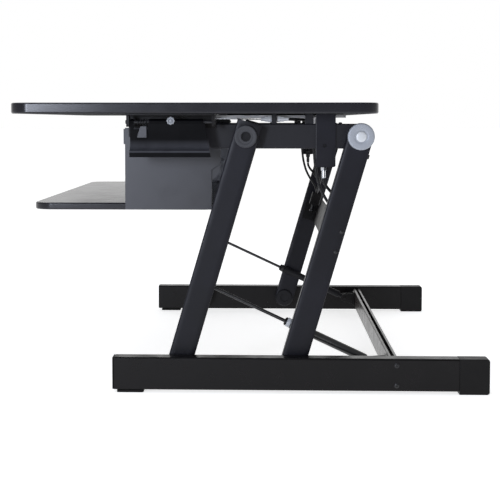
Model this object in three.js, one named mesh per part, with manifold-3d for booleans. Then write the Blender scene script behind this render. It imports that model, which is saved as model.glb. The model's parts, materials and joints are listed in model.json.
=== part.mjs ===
// Standing desk converter: a parallel-arm lift that carries a desktop and a keyboard tray above two rails.
// Millimetres, +Z up. +X is the user's right, -Y is the user's side, and the origin is the middle of the
// footprint on the surface the converter stands on. It is built raised, with its arms at their steepest.
import * as THREE from "three";
import { mergeVertices } from "three/addons/utils/BufferGeometryUtils.js";
import Module from "manifold-3d";

const wasm = await Module();
wasm.setup();

// Clearances
const GAP = 0.3; // between faces that touch on the real object
const RUNNING = 0.4; // radial clearance of a pin in its bore

// Lift linkage, seen from the side (Y, Z)
const ARM_LENGTH = 405; // pivot to pivot
const ARM_LEAN = THREE.MathUtils.degToRad(16.3); // from upright, towards the rear
const BASE_PIVOT_Z = 37;
const FRONT_PIVOT_Y = -119.6;
const REAR_PIVOT_Y = 71.8;
const TOP_PIVOT_Z = BASE_PIVOT_Z + ARM_LENGTH * Math.cos(ARM_LEAN);
const TOP_SHIFT_Y = ARM_LENGTH * Math.sin(ARM_LEAN);
const FRONT_TOP_Y = FRONT_PIVOT_Y + TOP_SHIFT_Y;
const REAR_TOP_Y = REAR_PIVOT_Y + TOP_SHIFT_Y;
const PIN_R = 6;
const BORE_R = PIN_R + RUNNING;
const WASHER_R = 12;
const PIVOT_NUT = { r: 10, thickness: 5 };

// Pivot caps: [out from the arm's face, radius] profiles, and the hexagon socket in the front one
const BASE_CAP = [[4.4, 0], [4.4, 16.5], [3, 19], [0, 19]];
const FRONT_CAP = [[0, 19], [5, 19], [6.5, 17.5], [6.5, 0]];
const REAR_CAP = [[0, 22.5], [5.8, 22.5], [7.2, 21], [7.2, 9.5], [8.6, 8], [8.6, 0]];
const SOCKET = { r: 7.6, depth: 4 };

// Layers across the width, as X ranges on the right-hand side
const QUADRANT_X = [354, 358.5];
const BRACKET_X = [368, 370.5];
const UPPER_RAIL_X = [371, 394];
const CABLE_PLATE_X = [394.3, 397.3];
const ARM_X = [398, 424];
const BASE_RAIL_X = [427, 457];

// Base
const RAIL_Y = [-225, 348];
const RAIL_Z = [5, 59.5];
const RAIL_WALL = 2;
const RAIL_CORNER = 3;
const END_CAP_Y = [-227.4, -213];
const REAR_FOOT_Y = [336, 398];
const FOOT_PAD_Y = [-220, -175.5];
const CROSSBAR_Y = [235.5, 251];
const CROSSBAR_Z = [16, 54];
const CROSSBAR_WALL = 2;
const CROSSBAR_SLOT = 5.5;
const PAD_INSET = 2; // of the front foot pad from the rail's sides

// Arms
const ARM_WIDTH = 42;
const ARM_WALL = 2;
const FRONT_ARM_OVERRUN = 25; // how far the square end runs past its top pivot
const CROSS_PLATE_ALONG = [192, 232, 250]; // lower edge, upper edge at the arms, upper edge in the middle
const CROSS_PLATE_OFFSET = [13.6, 16.4]; // behind the arms' centre line
const CROSS_PLATE_SHOULDER = 60; // width of each lower end shoulder
const CROSS_PLATE_RAMP = 18; // from a shoulder up to the middle
const CROSS_PLATE_FLANGE = { front: -14, sheet: 2 };
const LATCH_X = [348, 382];
const LATCH_ALONG = [231, 259];
const LATCH_OFFSET = [-9, 13.2];
const LOCK_ROD_X = 356.2;
const LOCK_ROD_ALONG = [215, 374.4];
const LOCK_ROD_R = 3;
const LOCK_ROD_HEAD = { r: 5, length: 4 };
const QUADRANT_R = 30;
const QUADRANT_TOP = 443; // behind the upper rail
const QUADRANT_TAB = { y: [118, 141], z: 434 }; // up to the desktop
const NOTCH_R = 3.6;
const NOTCH_COUNT = 5;
const LIFT_RANGE = THREE.MathUtils.degToRad(59); // how far the arms swing down

// Gas struts, each from a bracket on the crossbar to the front arm
const STRUT_X = 385.5;
const STRUT_ANCHOR = { y: 212, z: 40 };
const STRUT_PIN_ALONG = 144.5; // up the front arm from its base pivot
const STRUT_NECK = { z: [6, 14], r: 5, eyeR: 8 };
const STRUT_CYLINDER = { end: 165, r: 7.5, boreR: 6, floor: 17, gland: 8 };
const STRUT_ROD = { r: 3, pistonR: 5.5, piston: 7, inside: 19, headR: 6, studR: 4 };
const STRUT_PIN_R = 3;
const STRUT_EAR = { r: 9, sheet: 3, reach: 12, backZ: [22, 53], z: [24, 50], y: 232 };

// Carriage
const DESK = { halfWidth: 457, y: [-398, 214], z: [464, 482], corner: 28 };
const TRAY = { halfWidth: 367, y: [-375, -50], z: [299, 311], corner: 28 };
const UPPER_RAIL_Y = [-205, 205];
const UPPER_RAIL_Z = [405, 447];
const NOSE_Z = 424;
const NOSE_FLARE_Y = [-72, -67];
const UPPER_TABS_Y = [[-190, -160], [-25, 0], [93.6, 108], [120, 145]];
const SPACER_TOP = DESK.z[0] - GAP;
const TIE_PLATE = { halfWidth: 350, y: [-76, 165], z: [457.2, 461.5], sheet: 1.5 };
const TIE_EARS_Y = [[-40, -10], [15, 45]];
const TIE_BOSS = { r: 9, x: 300, y: [-50, 140] };
const CABLE_PLATE = { y: [112, 145], z: 374, holeY: 126.7, holeZ: 410 };
const FLANGE = { y: [118, 133], z: [374, 377], x: 380 };
const ADJUSTER = { x: 388, y: 125.5, z: [355, 387], sleeveR: 3.4, r: 3, nutR: 5.4, nuts: [6, 5] };
const BARREL = { x: 382, z: 454.5, tabY: [37.6, 46], reach: [19, 66], r: 3, nutR: 5.6, nut: 12 };
const HOLE_R = 3.2;
const BRACKET_Y = [-214, -65];
const BRACKET_Z = [299.6, 440];
const BRACKET_EAR = { y: -50, z: [368, 378] }; // to the rear, below the upper rail's nose
const BRACKET_SHELF = { x: 345, y: [-196, -84], thickness: 2 };
const BRACKET_LIP = { x: 352, z: [412, 438], thickness: 2.5 };

// Release handles
const HINGE = { x: 434, z: 450, r: 2.5 };
const HANDLE_Y = [-197.5, -63];
const HANDLE_BARRELS_Y = [[-197.5, -192], [-166, -76]];
const HANDLE_SHEET = 3;
const HANDLE_WEB = 3; // from the hinge line out to the web
const HANDLE_CURVE_R = 14; // where the web turns out into the lip
const HANDLE_CURVE_Z = -36; // below the hinge line
const HANDLE_LIP = { out: 12, z: [-58, -47.5] };
// What is cut off the rear end, as [Y, height from the hinge line]
const HANDLE_SLANT = [[-75.5, 10], [-62, -64], [-50, -64], [-50, 10]];
const MOUNT_X = [398, 450];
const MOUNT_EARS_Y = [[-203.5, -198.5], [-61.8, -57]];
const MOUNT_EAR = { halfWidth: 9, drop: 8, sheet: 2.5 };
const MOUNT_FLANGE_Z = 440; // bottom of its inner flange
const HINGE_HEAD_R = 4.5;
const SPRING = { r: 4.6, wire: 0.8, turns: 4, y: [-188.5, -171] };

// Cables: hand-laid routes of their centre lines (X, Y, Z), held at both ends
const CABLE_R = 2.5;
const RELEASE_CABLE_ROUTE = [
  [382, 66.6, 454.5], [380.5, 76, 454.4], [374, 86, 454.2], [367.6, 95, 453],
  [366, 102, 448], [366, 107, 436], [366, 109.5, 420], [366, 110.3, 400],
  [366, 111.5, 382], [366, 114.5, 360], [366, 120.5, 338], [366, 129.5, 320],
  [366.3, 138, 307], [366.8, 142.6, 298], [367.2, 144.2, 288.4],
];
const LATCH_CABLE_ROUTE = [
  [388, 125.5, 354.6], [387.6, 126.5, 348], [385.5, 131, 340], [382, 138.5, 331],
  [378.8, 145.5, 320], [377, 149.8, 308], [376.4, 150.5, 297], [376.3, 149.2, 287.6],
];

// Materials
function finish(color, roughness, metalness) {
  return new THREE.MeshStandardMaterial({ color, roughness, metalness });
}

const POWDER_COAT = finish(0x232327, 0.5, 0.3);
const LAMINATE = finish(0x1d1d21, 0.45, 0);
const PLASTIC = finish(0x1b1b1d, 0.6, 0);
const RUBBER = finish(0x141414, 0.9, 0);
const SILVER = finish(0xa8abb4, 0.4, 0.6);
const ZINC = finish(0x9a9ca0, 0.35, 0.9);
const STEEL = finish(0x55565a, 0.3, 1);
const JACKET = finish(0x151517, 0.6, 0);

const X = new THREE.Vector3(1, 0, 0);
const Y = new THREE.Vector3(0, 1, 0);
const Z = new THREE.Vector3(0, 0, 1);

// Booleans

function toSolid(geometry) {
  const plain = geometry.clone();
  plain.deleteAttribute("normal");
  plain.deleteAttribute("uv");
  const merged = mergeVertices(plain, 1e-4);
  const vertProperties = new Float32Array(merged.attributes.position.array);
  const triVerts = new Uint32Array(merged.index.array);
  return new wasm.Manifold(new wasm.Mesh({ numProp: 3, vertProperties, triVerts }));
}

function toGeometry(solid) {
  const { vertProperties, triVerts } = solid.getMesh();
  const geometry = new THREE.BufferGeometry();
  geometry.setAttribute("position", new THREE.BufferAttribute(vertProperties, 3));
  geometry.setIndex(new THREE.BufferAttribute(triVerts, 1));
  geometry.computeVertexNormals();
  return geometry;
}

function join(first, ...others) {
  return toGeometry(others.reduce((whole, piece) => whole.add(toSolid(piece)), toSolid(first)));
}

function cut(body, ...tools) {
  return toGeometry(tools.reduce((rest, tool) => rest.subtract(toSolid(tool)), toSolid(body)));
}

// Basic solids, all placed by their real extents

function box([x0, x1], [y0, y1], [z0, z1]) {
  const geometry = new THREE.BoxGeometry(x1 - x0, y1 - y0, z1 - z0);
  return geometry.translate((x0 + x1) / 2, (y0 + y1) / 2, (z0 + z1) / 2);
}

function roundedRectangle([a0, a1], [b0, b1], r) {
  const shape = new THREE.Shape();
  shape.moveTo(a0 + r, b0);
  shape.lineTo(a1 - r, b0);
  shape.absarc(a1 - r, b0 + r, r, -Math.PI / 2, 0);
  shape.lineTo(a1, b1 - r);
  shape.absarc(a1 - r, b1 - r, r, 0, Math.PI / 2);
  shape.lineTo(a0 + r, b1);
  shape.absarc(a0 + r, b1 - r, r, Math.PI / 2, Math.PI);
  shape.lineTo(a0, b0 + r);
  shape.absarc(a0 + r, b0 + r, r, Math.PI, 1.5 * Math.PI);
  return shape;
}

function polygon(points) {
  return new THREE.Shape(points.map(([a, b]) => new THREE.Vector2(a, b)));
}

function extrude(shape, depth, curveSegments) {
  return new THREE.ExtrudeGeometry(shape, { depth, bevelEnabled: false, curveSegments });
}

// An outline in (X, Y), raised along Z.
function planExtrusion(shape, [z0, z1], curveSegments = 2) {
  return extrude(shape, z1 - z0, curveSegments).translate(0, 0, z0);
}

// An outline in (Y, Z), run along X.
function sideExtrusion(shape, [x0, x1], curveSegments = 2) {
  const turned = new THREE.Matrix4().makeBasis(Y, Z, X);
  return extrude(shape, x1 - x0, curveSegments).applyMatrix4(turned).translate(x0, 0, 0);
}

// An outline in (X, Z), run along Y.
function frontExtrusion(shape, [y0, y1], curveSegments = 2) {
  const turned = new THREE.Matrix4().makeBasis(X, Z, Y.clone().negate());
  return extrude(shape, y1 - y0, curveSegments).applyMatrix4(turned).translate(0, y1, 0);
}

function cylinderX([x0, x1], y, z, r, sides = 12) {
  const geometry = new THREE.CylinderGeometry(r, r, x1 - x0, sides);
  return geometry.rotateZ(-Math.PI / 2).translate((x0 + x1) / 2, y, z);
}

function cylinderY(x, [y0, y1], z, r, sides = 12) {
  return new THREE.CylinderGeometry(r, r, y1 - y0, sides).translate(x, (y0 + y1) / 2, z);
}

function cylinderZ(x, y, [z0, z1], r, sides = 12) {
  const geometry = new THREE.CylinderGeometry(r, r, z1 - z0, sides);
  return geometry.rotateX(Math.PI / 2).translate(x, y, (z0 + z1) / 2);
}

// A body of revolution from [position along the axis, radius] points that start and end on the axis.
function lathe(profile, sides = 16) {
  return new THREE.LatheGeometry(profile.map(([along, r]) => new THREE.Vector2(r, along)), sides);
}

function latheX(profile, y, z, sides) {
  return lathe(profile, sides).rotateZ(-Math.PI / 2).translate(0, y, z);
}

function tube(route, r, steps, sides = 8) {
  const path = new THREE.CatmullRomCurve3(route.map((point) => new THREE.Vector3(...point)));
  const ring = new THREE.Shape();
  ring.absarc(0, 0, r, 0, 2 * Math.PI);
  const options = { extrudePath: path, steps, bevelEnabled: false, curveSegments: sides / 2 };
  return new THREE.ExtrudeGeometry(ring, options);
}

// Placing

const group = new THREE.Group();

function place(parent, name, geometry, material) {
  const mesh = new THREE.Mesh(geometry, material.clone());
  mesh.name = name;
  parent.add(mesh);
  return mesh;
}

// A group whose Z axis runs up an arm from its base pivot, and whose Y axis points behind it.
function armFrame(parent, pivotY) {
  const frame = new THREE.Group();
  frame.position.set(0, pivotY, BASE_PIVOT_Z);
  frame.rotation.x = -ARM_LEAN;
  parent.add(frame);
  return frame;
}

// Base

function baseRail() {
  const outline = roundedRectangle(BASE_RAIL_X, RAIL_Z, RAIL_CORNER);
  const innerX = [BASE_RAIL_X[0] + RAIL_WALL, BASE_RAIL_X[1] - RAIL_WALL];
  const innerZ = [RAIL_Z[0] + RAIL_WALL, RAIL_Z[1] - RAIL_WALL];
  outline.holes.push(roundedRectangle(innerX, innerZ, RAIL_CORNER - 1));
  const wall = [BASE_RAIL_X[0] - 1, innerX[0] + 1];
  const bores = [FRONT_PIVOT_Y, REAR_PIVOT_Y].map((y) => cylinderX(wall, y, BASE_PIVOT_Z, BORE_R));
  return cut(frontExtrusion(outline, RAIL_Y), ...bores);
}

// The stub that holds an end cap in the open end of a rail.
function railPlug(y) {
  const inset = RAIL_WALL + RUNNING;
  const plugX = [BASE_RAIL_X[0] + inset, BASE_RAIL_X[1] - inset];
  return frontExtrusion(roundedRectangle(plugX, [RAIL_Z[0] + inset, RAIL_Z[1] - inset], RAIL_CORNER), y);
}

function frontEndCap() {
  const face = frontExtrusion(roundedRectangle(BASE_RAIL_X, RAIL_Z, 4), [END_CAP_Y[0], RAIL_Y[0] - GAP]);
  return join(face, railPlug([RAIL_Y[0] - 1, END_CAP_Y[1]]));
}

function rearFoot() {
  const outline = roundedRectangle([RAIL_Y[1] + GAP, REAR_FOOT_Y[1]], [0, RAIL_Z[1]], 4.5);
  const block = sideExtrusion(outline, BASE_RAIL_X);
  return join(block, railPlug([REAR_FOOT_Y[0], RAIL_Y[1] + 1]));
}

function frontFootPad() {
  const outline = roundedRectangle([BASE_RAIL_X[0] + PAD_INSET, BASE_RAIL_X[1] - PAD_INSET], FOOT_PAD_Y, 3);
  return planExtrusion(outline, [0, RAIL_Z[0] - GAP]);
}

// A box channel whose top is two lips with a slot between them.
function crossbar() {
  const [y0, y1] = CROSSBAR_Y;
  const [z0, z1] = CROSSBAR_Z;
  const middle = (y0 + y1) / 2;
  const lip = [middle - CROSSBAR_SLOT / 2, middle + CROSSBAR_SLOT / 2];
  const wall = CROSSBAR_WALL;
  const outline = polygon([
    [y0, z0], [y1, z0], [y1, z1], [lip[1], z1], [lip[1], z1 - wall], [y1 - wall, z1 - wall],
    [y1 - wall, z0 + wall], [y0 + wall, z0 + wall], [y0 + wall, z1 - wall], [lip[0], z1 - wall],
    [lip[0], z1], [y0, z1],
  ]);
  return sideExtrusion(outline, [-BASE_RAIL_X[0] + GAP, BASE_RAIL_X[0] - GAP]);
}

function strutBracket() {
  const { y, z } = STRUT_ANCHOR;
  const { r, sheet, reach } = STRUT_EAR;
  const x = [STRUT_X - reach, STRUT_X + reach];
  const back = box(x, [STRUT_EAR.y, CROSSBAR_Y[0] - GAP], STRUT_EAR.backZ);
  const ear = new THREE.Shape();
  ear.moveTo(STRUT_EAR.y + 0.5, STRUT_EAR.z[1]);
  ear.lineTo(y, z + r);
  ear.absarc(y, z, r, Math.PI / 2, 1.5 * Math.PI);
  ear.lineTo(STRUT_EAR.y + 0.5, STRUT_EAR.z[0]);
  const ears = [[x[0], x[0] + sheet], [x[1] - sheet, x[1]]].map((earX) => sideExtrusion(ear, earX, 4));
  const pin = cylinderX([x[0] - 2, x[1] + 1.5], y, z, STRUT_PIN_R);
  return join(back, ...ears, pin);
}

// A shoulder pin through an arm into the base rail, with a round cap on its inner end.
function basePivot(pivotY) {
  const face = ARM_X[0] - GAP;
  const washer = [ARM_X[1] + GAP, BASE_RAIL_X[0] - GAP];
  const wall = BASE_RAIL_X[0] + RAIL_WALL;
  const nut = [wall + GAP, wall + GAP + PIVOT_NUT.thickness];
  const profile = [
    ...BASE_CAP.map(([out, r]) => [face - out, r]), [face, PIN_R], [washer[0], PIN_R],
    [washer[0], WASHER_R], [washer[1], WASHER_R], [washer[1], PIN_R],
    [nut[0], PIN_R], [nut[0], PIVOT_NUT.r], [nut[1], PIVOT_NUT.r], [nut[1], 0],
  ];
  return latheX(profile, pivotY, BASE_PIVOT_Z);
}

// Arms, in the frame of armFrame

// Side outline of an arm: round about its base pivot, and round or square at the top.
function armOutline(squareEnd) {
  const half = ARM_WIDTH / 2;
  const shape = new THREE.Shape();
  shape.absarc(0, 0, half, Math.PI, 2 * Math.PI);
  if (squareEnd) {
    shape.lineTo(half, ARM_LENGTH + squareEnd);
    shape.lineTo(-half, ARM_LENGTH + squareEnd);
  } else {
    shape.absarc(0, ARM_LENGTH, half, 0, Math.PI);
  }
  return shape;
}

function arm(squareEnd) {
  const body = sideExtrusion(armOutline(squareEnd), ARM_X, 6);
  const half = ARM_WIDTH / 2 - ARM_WALL;
  const inside = [ARM_X[0] + ARM_WALL, ARM_X[1] - ARM_WALL];
  const hollow = box(inside, [-half, half], [-6, ARM_LENGTH + ARM_WIDTH]);
  const through = [ARM_X[0] - 1, ARM_X[1] + 1];
  const bores = [0, ARM_LENGTH].map((z) => cylinderX(through, 0, z, BORE_R));
  return cut(body, hollow, ...bores);
}

// The plate that ties the two rear arms together, with lower shoulders where it meets them.
function armCrossPlate() {
  const [low, shoulder, high] = CROSS_PLATE_ALONG;
  const end = ARM_X[0] - GAP;
  const inner = end - CROSS_PLATE_SHOULDER;
  const ramp = CROSS_PLATE_RAMP;
  const { front, sheet } = CROSS_PLATE_FLANGE;
  const outline = polygon([
    [-end, low], [end, low], [end, shoulder], [inner, shoulder], [inner - ramp, high],
    [-inner + ramp, high], [-inner, shoulder], [-end, shoulder],
  ]);
  const plate = frontExtrusion(outline, CROSS_PLATE_OFFSET);
  const flangeY = [front, CROSS_PLATE_OFFSET[1]];
  const flanges = [[end - sheet, end], [-end, -end + sheet]].map((x) => box(x, flangeY, [low, shoulder]));
  return join(plate, ...flanges);
}

function latchHousing() {
  const outline = roundedRectangle(LATCH_X, LATCH_OFFSET, 3);
  const bore = cylinderZ(LOCK_ROD_X, 0, [LATCH_ALONG[0] - 1, LATCH_ALONG[1] + 1], LOCK_ROD_R + RUNNING);
  return cut(planExtrusion(outline, LATCH_ALONG), bore);
}

function lockRod() {
  const [low, high] = LOCK_ROD_ALONG;
  const r = LOCK_ROD_R;
  const head = LOCK_ROD_HEAD;
  const shoulder = low + head.length;
  const profile = [
    [low, 0], [low, head.r], [shoulder, head.r], [shoulder, r], [high - 2, r], [high, r - 1.4], [high, 0],
  ];
  return lathe(profile, 10).rotateX(Math.PI / 2).translate(LOCK_ROD_X, 0, 0);
}

// A top pivot: outer cap, shaft through the arm and the upper rail, spacer washer and inner nut.
function topPivot(pivotY, cap) {
  const nut = [UPPER_RAIL_X[0] - PIVOT_NUT.thickness, UPPER_RAIL_X[0] - GAP];
  const washer = [UPPER_RAIL_X[1] + GAP, ARM_X[0] - GAP];
  const face = ARM_X[1] + GAP;
  const profile = [
    [nut[0], 0], [nut[0], PIVOT_NUT.r], [nut[1], PIVOT_NUT.r], [nut[1], PIN_R],
    [washer[0], PIN_R], [washer[0], WASHER_R], [washer[1], WASHER_R], [washer[1], PIN_R],
    [face, PIN_R], ...cap.map(([out, r]) => [face + out, r]),
  ];
  return latheX(profile, pivotY, TOP_PIVOT_Z, 20);
}

function frontTopPivot() {
  const face = ARM_X[1] + GAP + FRONT_CAP.at(-1)[0];
  const socket = cylinderX([face - SOCKET.depth, face + 1], FRONT_TOP_Y, TOP_PIVOT_Z, SOCKET.r, 6);
  return cut(topPivot(FRONT_TOP_Y, FRONT_CAP), socket);
}

// Gas struts, in a frame whose Z axis runs along the strut from its lower pin

function strutCylinder() {
  const bore = STRUT_PIN_R + RUNNING;
  const neck = STRUT_NECK;
  const { end, r, boreR, floor, gland } = STRUT_CYLINDER;
  const barrel = lathe([
    [neck.z[0], 0], [neck.z[0], neck.r], [neck.z[1], neck.r], [neck.z[1] + 1.5, r], [end - 1, r],
    [end, r - 0.9], [end, bore], [end - gland, bore], [end - gland, boreR], [floor, boreR], [floor, 0],
  ], 14).rotateX(Math.PI / 2);
  const eye = cylinderX([-6.5, 6.5], 0, 0, neck.eyeR);
  return cut(join(barrel, eye), cylinderX([-8, 8], 0, 0, bore));
}

function strutRod(length) {
  const { r, pistonR, piston, inside, headR, studR } = STRUT_ROD;
  const inner = STRUT_CYLINDER.end - inside;
  const rod = lathe([
    [inner, 0], [inner, pistonR], [inner + piston, pistonR], [inner + piston, r],
    [length - 3, r], [length - 3, 0],
  ], 10);
  const head = cylinderX([-5.5, 5.5], 0, length, headR);
  const stud = cylinderX([5, ARM_X[0] - RUNNING - STRUT_X], 0, length, studR);
  return join(rod.rotateX(Math.PI / 2), head, stud);
}

function strutFrame(parent) {
  const pinY = FRONT_PIVOT_Y + STRUT_PIN_ALONG * Math.sin(ARM_LEAN);
  const pinZ = BASE_PIVOT_Z + STRUT_PIN_ALONG * Math.cos(ARM_LEAN);
  const run = STRUT_ANCHOR.y - pinY;
  const rise = pinZ - STRUT_ANCHOR.z;
  const frame = new THREE.Group();
  frame.position.set(STRUT_X, STRUT_ANCHOR.y, STRUT_ANCHOR.z);
  frame.rotation.x = Math.atan2(run, rise);
  parent.add(frame);
  return { frame, length: Math.hypot(run, rise) };
}

// Carriage

function desktop() {
  return planExtrusion(roundedRectangle([-DESK.halfWidth, DESK.halfWidth], DESK.y, DESK.corner), DESK.z, 6);
}

function keyboardTray() {
  return planExtrusion(roundedRectangle([-TRAY.halfWidth, TRAY.halfWidth], TRAY.y, TRAY.corner), TRAY.z, 6);
}

// A box tube with a shallower nose, tabs up to the desktop, and a thick tab for the cable's barrel adjuster.
function upperRail() {
  const [front, rear] = UPPER_RAIL_Y;
  const [low, high] = UPPER_RAIL_Z;
  const outline = polygon([
    [front, NOSE_Z], [NOSE_FLARE_Y[0], NOSE_Z], [NOSE_FLARE_Y[1], low], [rear, low],
    [rear, high], [front, high],
  ]);
  const wall = RAIL_WALL;
  const inside = [UPPER_RAIL_X[0] + wall, UPPER_RAIL_X[1] - wall];
  const tabs = UPPER_TABS_Y.map((y) => box(inside, y, [high - 1, SPACER_TOP]));
  const barrelTab = box(inside, BARREL.tabY, [high - 1, SPACER_TOP]);
  const body = join(sideExtrusion(outline, UPPER_RAIL_X), ...tabs, barrelTab);
  const through = [UPPER_RAIL_X[0] - 1, UPPER_RAIL_X[1] + 1];
  return cut(
    body,
    box(inside, [NOSE_FLARE_Y[1] + 4, rear + 1], [low + wall, high - wall]),
    box(inside, [front - 1, NOSE_FLARE_Y[1] + 5], [NOSE_Z + wall, high - wall]),
    cylinderX(through, FRONT_TOP_Y, TOP_PIVOT_Z, BORE_R),
    cylinderX(through, REAR_TOP_Y, TOP_PIVOT_Z, BORE_R),
    cylinderY(BARREL.x, [BARREL.tabY[0] - 1, BARREL.tabY[1] + 1], BARREL.z, BARREL.r + RUNNING),
  );
}

// A shallow pan under the desktop, with turned-down sides, side ears to the upper rails and spacer bosses.
function tiePlate() {
  const { halfWidth, y, z, sheet } = TIE_PLATE;
  const top = [z[1] - sheet, z[1]];
  const pan = box([-halfWidth, halfWidth], y, top);
  const sides = [-1, 1].map((side) => {
    const x = [side * halfWidth, side * (halfWidth - sheet)].sort((a, b) => a - b);
    return box(x, y, z);
  });
  const earEnd = UPPER_RAIL_X[0] - GAP;
  const ears = [-1, 1].flatMap((side) => TIE_EARS_Y.map((earY) => {
    const x = [side * (halfWidth - 5), side * earEnd].sort((a, b) => a - b);
    return box(x, earY, top);
  }));
  const bosses = [-TIE_BOSS.x, TIE_BOSS.x].flatMap((x) => TIE_BOSS.y.map((bossY) => (
    cylinderZ(x, bossY, [z[1] - 1, SPACER_TOP], TIE_BOSS.r)
  )));
  return join(pan, ...sides, ...ears, ...bosses);
}

// The plate outside the upper rail that hangs down to hold the latch cable's adjuster.
function cableBracket() {
  const { y, z, holeY, holeZ } = CABLE_PLATE;
  const plate = sideExtrusion(roundedRectangle(y, [z, SPACER_TOP], 3), CABLE_PLATE_X);
  const flange = box([FLANGE.x, CABLE_PLATE_X[1]], FLANGE.y, FLANGE.z);
  const hole = cylinderX([CABLE_PLATE_X[0] - 1, CABLE_PLATE_X[1] + 1], holeY, holeZ, HOLE_R);
  const slot = cylinderZ(ADJUSTER.x, ADJUSTER.y, [FLANGE.z[0] - 1, FLANGE.z[1] + 1], ADJUSTER.r + RUNNING);
  return cut(join(plate, flange), hole, slot);
}

// A threaded adjuster standing through a bracket's flange, with a hexagon nut on each side.
function cableAdjuster() {
  const { x, y, z, sleeveR, r, nutR, nuts } = ADJUSTER;
  const [low, high] = FLANGE.z;
  const sleeveEnd = low - nuts[0];
  const profile = [[z[0], 0], [z[0], sleeveR], [sleeveEnd, sleeveR], [sleeveEnd, r], [z[1], r], [z[1], 0]];
  const shank = lathe(profile, 10);
  const lower = cylinderZ(0, 0, [sleeveEnd, low - GAP], nutR, 6);
  const upper = cylinderZ(0, 0, [high + GAP, high + nuts[1]], nutR, 6);
  return join(shank.rotateX(Math.PI / 2), lower, upper).translate(x, y, 0);
}

function barrelAdjuster() {
  const { x, z, reach, r, nutR, nut } = BARREL;
  const [front, rear] = BARREL.tabY;
  const shank = cylinderY(0, reach, 0, r, 10);
  const nuts = [[front - nut, front - GAP], [rear + GAP, rear + nut]].map((y) => cylinderY(0, y, 0, nutR, 6));
  return join(shank, ...nuts).translate(x, 0, z);
}

// The notched sector that the lock rod presses against, fixed to the desktop about the rear top pivot.
function lockQuadrant() {
  const r = QUADRANT_R;
  const [front, rear] = QUADRANT_TAB.y;
  const shape = new THREE.Shape();
  shape.moveTo(REAR_TOP_Y + 10, QUADRANT_TOP);
  shape.lineTo(rear, QUADRANT_TOP);
  shape.lineTo(rear, SPACER_TOP);
  shape.lineTo(front, SPACER_TOP);
  shape.lineTo(front, QUADRANT_TAB.z);
  shape.absarc(REAR_TOP_Y, TOP_PIVOT_Z, r, Math.PI, 1.56 * Math.PI);
  const steep = 1.5 * Math.PI - ARM_LEAN;
  const notches = Array.from({ length: NOTCH_COUNT }, (_, i) => {
    const angle = steep - (LIFT_RANGE * i) / (NOTCH_COUNT - 1);
    const y = REAR_TOP_Y + (r + 1.4) * Math.cos(angle);
    const z = TOP_PIVOT_Z + (r + 1.4) * Math.sin(angle);
    return cylinderX([QUADRANT_X[0] - 1, QUADRANT_X[1] + 1], y, z, NOTCH_R, 8);
  });
  const hub = cylinderX([QUADRANT_X[0] - 1, QUADRANT_X[1] + 1], REAR_TOP_Y, TOP_PIVOT_Z, 12);
  return cut(sideExtrusion(shape, QUADRANT_X, 9), hub, ...notches);
}

// A side plate that hangs the keyboard tray from the upper rail's nose.
function keyboardBracket() {
  const [front, rear] = BRACKET_Y;
  const [low, high] = BRACKET_Z;
  const ear = BRACKET_EAR;
  const outline = polygon([
    [front, low], [rear, low], [rear, ear.z[0]], [ear.y, ear.z[1]], [ear.y, high], [front, high],
  ]);
  const plate = sideExtrusion(outline, BRACKET_X, 1);
  const shelfZ = [TRAY.z[1] + GAP, TRAY.z[1] + GAP + BRACKET_SHELF.thickness];
  const shelf = box([BRACKET_SHELF.x, BRACKET_X[1]], BRACKET_SHELF.y, shelfZ);
  const lipY = [BRACKET_Y[0] - BRACKET_LIP.thickness, BRACKET_Y[0] + 1];
  const lip = box([BRACKET_LIP.x, BRACKET_X[1]], lipY, BRACKET_LIP.z);
  return join(plate, shelf, lip);
}

// Release handles

function handleMount() {
  const { halfWidth, drop, sheet } = MOUNT_EAR;
  const span = [MOUNT_EARS_Y[0][0], MOUNT_EARS_Y[1][1]];
  const plate = box(MOUNT_X, span, [SPACER_TOP - sheet, SPACER_TOP]);
  const flange = box([MOUNT_X[0], MOUNT_X[0] + sheet], span, [MOUNT_FLANGE_Z, SPACER_TOP]);
  const earX = [HINGE.x - halfWidth, HINGE.x + halfWidth];
  const outline = roundedRectangle(earX, [HINGE.z - drop, SPACER_TOP - 1], 3);
  const ears = MOUNT_EARS_Y.map((y) => frontExtrusion(outline, y));
  const bore = cylinderY(HINGE.x, [span[0] - 1, span[1] + 1], HINGE.z, HINGE.r + RUNNING);
  return cut(join(plate, flange, ...ears), bore);
}

function hingePin() {
  const [front, rear] = [MOUNT_EARS_Y[0][0], MOUNT_EARS_Y[1][1]];
  const shank = cylinderY(0, [front - 2, rear + 2], 0, HINGE.r, 10);
  const head = cylinderY(0, [front - 3.5, front - GAP], 0, HINGE_HEAD_R);
  return join(shank, head).translate(HINGE.x, 0, HINGE.z);
}

// Section of the paddle: an upright web that curves out into a lip for the fingers.
function handleSection() {
  const { x, z } = HINGE;
  const web = x + HANDLE_WEB;
  const sheet = HANDLE_SHEET;
  const curve = { x: web + HANDLE_CURVE_R, z: z + HANDLE_CURVE_Z };
  const lip = web + HANDLE_LIP.out;
  const lipZ = HANDLE_LIP.z.map((below) => z + below);
  const section = new THREE.Shape();
  section.moveTo(web, z - 2);
  section.lineTo(web, curve.z);
  section.absarc(curve.x, curve.z, HANDLE_CURVE_R, Math.PI, 1.42 * Math.PI);
  section.lineTo(lip, lipZ[0]);
  section.lineTo(lip + sheet, lipZ[0]);
  section.lineTo(lip + sheet, lipZ[1]);
  section.absarc(curve.x, curve.z, HANDLE_CURVE_R - sheet, 1.5 * Math.PI, Math.PI, true);
  section.lineTo(web + sheet, z - 2);
  return section;
}

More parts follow.
